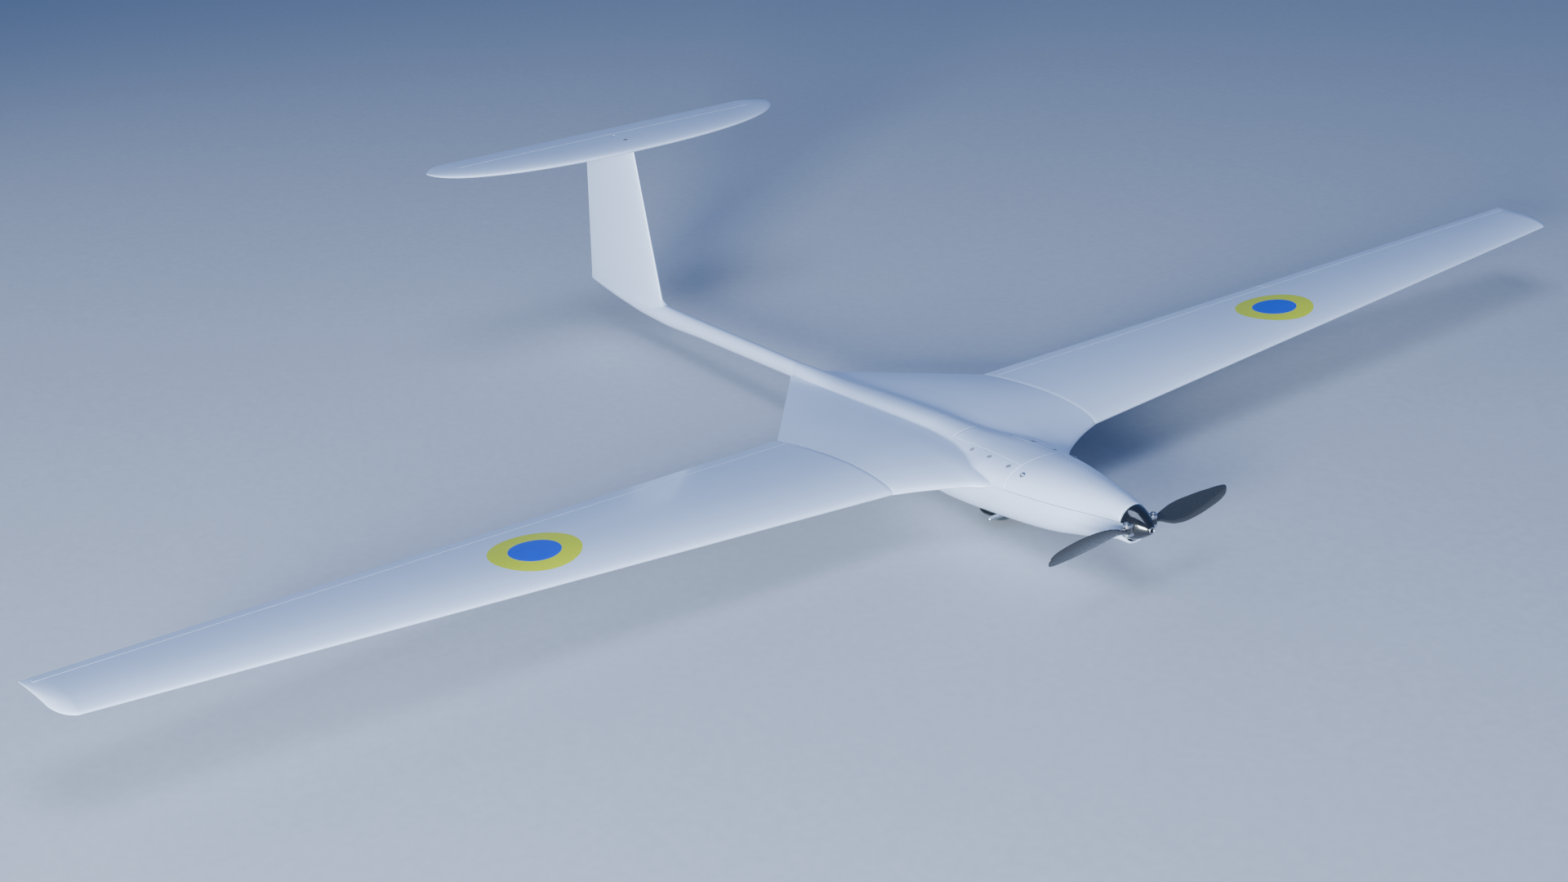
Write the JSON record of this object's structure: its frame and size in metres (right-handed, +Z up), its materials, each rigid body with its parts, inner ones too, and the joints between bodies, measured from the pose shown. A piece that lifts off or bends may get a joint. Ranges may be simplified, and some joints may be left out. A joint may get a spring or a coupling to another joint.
{
  "type": "electric t-tail survey sailplane",
  "caption": "Electric T-tail sailplane with two-piece wing, flaps, ailerons, elevator, folding propeller, lift-off hatch and belly camera dome.",
  "frame": {"origin": "centre of the flat landing patch under the belly, below the balance point", "axes": "+X to the nose, +Y to the port wing, +Z up"},
  "size_m": [1.135, 1.98, 0.2792],
  "materials": {
    "white_paint": "satin-gloss pale cool white paint on moulded composite",
    "black_gloss": "high gloss black",
    "carbon": "satin dark grey carbon fibre",
    "steel": "bright steel",
    "dark_screw": "dark oxide finish",
    "alloy": "turned aluminium",
    "black_plastic": "moulded satin black",
    "dome_glass": "smoked grey-green window",
    "battery_wrap": "heat-shrunk blue film",
    "green_board": "green solder mask",
    "plywood": "lite plywood"
  },
  "bodies": {
    "airframe": {"centre_body": "white_paint", "belly_shell": "white_paint", "nose_cowl": "white_paint", "hatch_screw_left_1": "dark_screw", "hatch_screw_left_2": "dark_screw", "hatch_screw_left_3": "dark_screw", "hatch_screw_right_1": "dark_screw", "hatch_screw_right_2": "dark_screw", "hatch_screw_right_3": "dark_screw", "cowl_screw_left": "steel", "cowl_screw_right": "steel", "wing_left": "white_paint", "wing_right": "white_paint", "wing_joiner": "carbon", "tail_boom": "white_paint", "fin": "white_paint", "stabilizer": "white_paint", "stab_bolt_front": "dark_screw", "stab_bolt_rear": "dark_screw", "elevator_servo": "black_plastic", "flap_servo_left": "black_plastic", "flap_servo_right": "black_plastic", "aileron_servo_left": "black_plastic", "aileron_servo_right": "black_plastic", "camera_dome": "dome_glass", "launch_peg": "steel", "equipment_tray": "plywood", "battery": "battery_wrap", "autopilot": "black_plastic", "receiver": "green_board", "speed_controller": "black_plastic", "motor_mount": "alloy", "motor_base": "alloy"},
    "flap_left": {"flap_left": "white_paint"},
    "flap_servo_arm_left": {"flap_servo_arm_left": "alloy"},
    "flap_pushrod_left": {"flap_pushrod_left": "steel"},
    "aileron_left": {"aileron_left": "white_paint"},
    "aileron_servo_arm_left": {"aileron_servo_arm_left": "alloy"},
    "aileron_pushrod_left": {"aileron_pushrod_left": "steel"},
    "flap_right": {"flap_right": "white_paint"},
    "flap_servo_arm_right": {"flap_servo_arm_right": "alloy"},
    "flap_pushrod_right": {"flap_pushrod_right": "steel"},
    "aileron_right": {"aileron_right": "white_paint"},
    "aileron_servo_arm_right": {"aileron_servo_arm_right": "alloy"},
    "aileron_pushrod_right": {"aileron_pushrod_right": "steel"},
    "elevator": {"elevator": "white_paint"},
    "elevator_servo_arm": {"elevator_servo_arm": "alloy"},
    "elevator_pushrod": {"elevator_pushrod": "steel"},
    "blade_left": {"blade_left": "carbon"},
    "blade_right": {"blade_right": "carbon"},
    "propeller": {"spinner": "black_gloss", "spinner_nut": "alloy", "prop_yoke": "alloy", "motor_rotor": "steel", "blade_pin_left": "steel", "blade_pin_right": "steel"},
    "hatch": {"hatch_cover": "white_paint"},
    "camera_head": {"camera_head": "black_plastic"}
  },
  "joints": [
    {"name": "flap_hinge_left", "type": "hinge", "parent": "airframe", "child": "flap_left", "pos_m": [-0.09972, 0.262, 0.06178], "axis": [-0.073, -0.9965, -0.0419], "range_deg": [-5, 40]},
    {"name": "flap_servo_turn_left", "type": "hinge", "parent": "airframe", "child": "flap_servo_arm_left", "pos_m": [-0.03988, 0.25768, 0.06019], "axis": [-0.073, -0.9965, -0.0419], "range_deg": [-5, 40]},
    {"name": "flap_rod_swing_left", "type": "hinge", "parent": "flap_servo_arm_left", "child": "flap_pushrod_left", "pos_m": [-0.03984, 0.25823, 0.0472], "axis": [-0.073, -0.9965, -0.0419], "range_deg": [-40, 5]},
    {"name": "aileron_hinge_left", "type": "hinge", "parent": "airframe", "child": "aileron_left", "pos_m": [-0.07409, 0.612, 0.0765], "axis": [-0.073, -0.9965, -0.0419], "range_deg": [-25, 25]},
    {"name": "aileron_servo_turn_left", "type": "hinge", "parent": "airframe", "child": "aileron_servo_arm_left", "pos_m": [-0.02821, 0.60871, 0.0749], "axis": [-0.073, -0.9965, -0.0419], "range_deg": [-25, 25]},
    {"name": "aileron_rod_swing_left", "type": "hinge", "parent": "aileron_servo_arm_left", "child": "aileron_pushrod_left", "pos_m": [-0.02817, 0.60925, 0.06191], "axis": [-0.073, -0.9965, -0.0419], "range_deg": [-25, 25]},
    {"name": "flap_hinge_right", "type": "hinge", "parent": "airframe", "child": "flap_right", "pos_m": [-0.09972, -0.262, 0.06178], "axis": [0.073, -0.9965, 0.0419], "range_deg": [-5, 40]},
    {"name": "flap_servo_turn_right", "type": "hinge", "parent": "airframe", "child": "flap_servo_arm_right", "pos_m": [-0.03988, -0.25768, 0.06019], "axis": [0.073, -0.9965, 0.0419], "range_deg": [-5, 40]},
    {"name": "flap_rod_swing_right", "type": "hinge", "parent": "flap_servo_arm_right", "child": "flap_pushrod_right", "pos_m": [-0.03984, -0.25823, 0.0472], "axis": [0.073, -0.9965, 0.0419], "range_deg": [-40, 5]},
    {"name": "aileron_hinge_right", "type": "hinge", "parent": "airframe", "child": "aileron_right", "pos_m": [-0.07409, -0.612, 0.0765], "axis": [0.073, -0.9965, 0.0419], "range_deg": [-25, 25]},
    {"name": "aileron_servo_turn_right", "type": "hinge", "parent": "airframe", "child": "aileron_servo_arm_right", "pos_m": [-0.02821, -0.60871, 0.0749], "axis": [0.073, -0.9965, 0.0419], "range_deg": [-25, 25]},
    {"name": "aileron_rod_swing_right", "type": "hinge", "parent": "aileron_servo_arm_right", "child": "aileron_pushrod_right", "pos_m": [-0.02817, -0.60925, 0.06191], "axis": [0.073, -0.9965, 0.0419], "range_deg": [-25, 25]},
    {"name": "elevator_hinge", "type": "hinge", "parent": "airframe", "child": "elevator", "pos_m": [-0.733, 0.03, 0.2629], "axis": [0, -1, 0], "range_deg": [-20, 9]},
    {"name": "elevator_servo_turn", "type": "hinge", "parent": "airframe", "child": "elevator_servo_arm", "pos_m": [-0.693, 0.03, 0.2585], "axis": [0, -1, 0], "range_deg": [-20, 9]},
    {"name": "elevator_rod_swing", "type": "hinge", "parent": "elevator_servo_arm", "child": "elevator_pushrod", "pos_m": [-0.693, 0.03, 0.2455], "axis": [0, -1, 0], "range_deg": [-9, 20]},
    {"name": "prop_spin", "type": "hinge", "parent": "airframe", "child": "propeller", "pos_m": [0.295, 0, 0.0565], "axis": [1, 0, 0], "continuous": true},
    {"name": "blade_fold_left", "type": "hinge", "parent": "propeller", "child": "blade_left", "pos_m": [0.295, 0.0175, 0.0565], "axis": [0, 0, 1], "range_deg": [0, 60]},
    {"name": "blade_fold_right", "type": "hinge", "parent": "propeller", "child": "blade_right", "pos_m": [0.295, -0.0175, 0.0565], "axis": [0, 0, -1], "range_deg": [0, 60]},
    {"name": "hatch_lift", "type": "slide", "parent": "airframe", "child": "hatch", "axis": [0, 0, 1], "range_m": [0, 0.06]},
    {"name": "camera_pan", "type": "hinge", "parent": "airframe", "child": "camera_head", "pos_m": [0.08, 0, 0.0125], "axis": [0, 0, 1], "range_deg": [-160, 160]}
  ],
  "couplings": [
    {"joint": "flap_servo_turn_left", "follows": "flap_hinge_left", "ratio": 1},
    {"joint": "flap_rod_swing_left", "follows": "flap_hinge_left", "ratio": -1},
    {"joint": "aileron_servo_turn_left", "follows": "aileron_hinge_left", "ratio": 1},
    {"joint": "aileron_rod_swing_left", "follows": "aileron_hinge_left", "ratio": -1},
    {"joint": "flap_servo_turn_right", "follows": "flap_hinge_right", "ratio": 1},
    {"joint": "flap_rod_swing_right", "follows": "flap_hinge_right", "ratio": -1},
    {"joint": "aileron_servo_turn_right", "follows": "aileron_hinge_right", "ratio": 1},
    {"joint": "aileron_rod_swing_right", "follows": "aileron_hinge_right", "ratio": -1},
    {"joint": "elevator_servo_turn", "follows": "elevator_hinge", "ratio": 1},
    {"joint": "elevator_rod_swing", "follows": "elevator_hinge", "ratio": -1}
  ]
}
